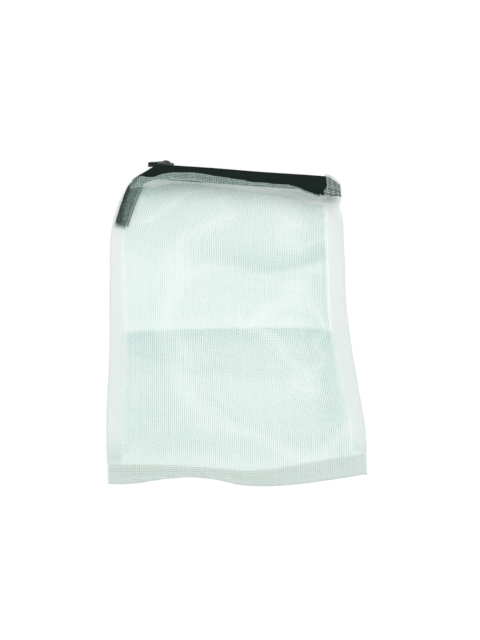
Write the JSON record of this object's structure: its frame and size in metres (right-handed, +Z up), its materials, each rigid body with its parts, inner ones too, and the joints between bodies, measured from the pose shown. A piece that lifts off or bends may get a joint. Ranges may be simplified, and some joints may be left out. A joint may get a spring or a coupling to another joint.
{
  "type": "mesh laundry bag",
  "caption": "Small flat pouch of fine white mesh with a dark coil zip along its mouth, for washing small items.",
  "frame": {"origin": "middle of the back panel's underside, on the surface that the pouch lies on", "axes": "+X along the zip, +Y from the bottom seam to the zip, +Z up out of the front panel"},
  "size_m": [0.158, 0.2179, 0.0138],
  "materials": {
    "mesh": "fine woven nylon mesh",
    "zip_tape": "woven polyester tape",
    "zip_coil": "nylon coil",
    "filler_cord": "braided cord",
    "zip_thread": "polyester thread",
    "seam_thread": "polyester thread",
    "slider_metal": "dark satin enamel"
  },
  "bodies": {
    "bag": {"front_panel": "mesh", "back_panel": "mesh", "left_seam_allowance": "mesh", "right_seam_allowance": "mesh", "bottom_seam_allowance": "mesh", "front_hem": "mesh", "back_hem": "mesh", "right_corner_cover": "mesh", "front_tape_left_end": "zip_tape", "front_tape_right_end": "zip_tape", "front_tape_selvedge": "zip_tape", "back_zip_tape": "zip_tape", "back_tape_tail": "zip_tape", "front_tape_tail": "zip_tape", "front_coil_left_end": "zip_coil", "front_coil_right_end": "zip_coil", "back_zip_coil": "zip_coil", "spread_coil_ends": "zip_coil", "front_cord_left_end": "filler_cord", "front_cord_right_end": "filler_cord", "back_coil_cord": "filler_cord", "back_coil_stitching": "zip_thread", "bottom_seam_stitching": "seam_thread", "left_seam_stitching": "seam_thread", "right_seam_stitching": "seam_thread", "front_mouth_stitching": "seam_thread", "back_mouth_stitching": "seam_thread"},
    "front_lip": {"front_zip_tape": "zip_tape", "front_zip_coil": "zip_coil", "front_coil_cord": "filler_cord", "front_coil_stitching": "zip_thread"},
    "slider": {"slider_body": "slider_metal"},
    "pull": {"pull_tab": "slider_metal"}
  },
  "joints": [
    {"name": "slider_travel", "type": "slide", "parent": "bag", "child": "slider", "axis": [1, 0, 0], "range_m": [0, 0.1055], "deforming": ["front_zip_coil", "front_coil_left_end", "front_coil_right_end", "back_zip_coil", "spread_coil_ends"]},
    {"name": "pull_swing", "type": "hinge", "parent": "slider", "child": "pull", "pos_m": [-0.049, 0.10637, 0.00683], "axis": [0, 0, -1], "range_deg": [0, 145]},
    {"name": "front_lip_fold", "type": "hinge", "parent": "bag", "child": "front_lip", "pos_m": [0, 0.0952, 0.01273], "axis": [1, 0, 0], "range_deg": [0, 75]}
  ]
}
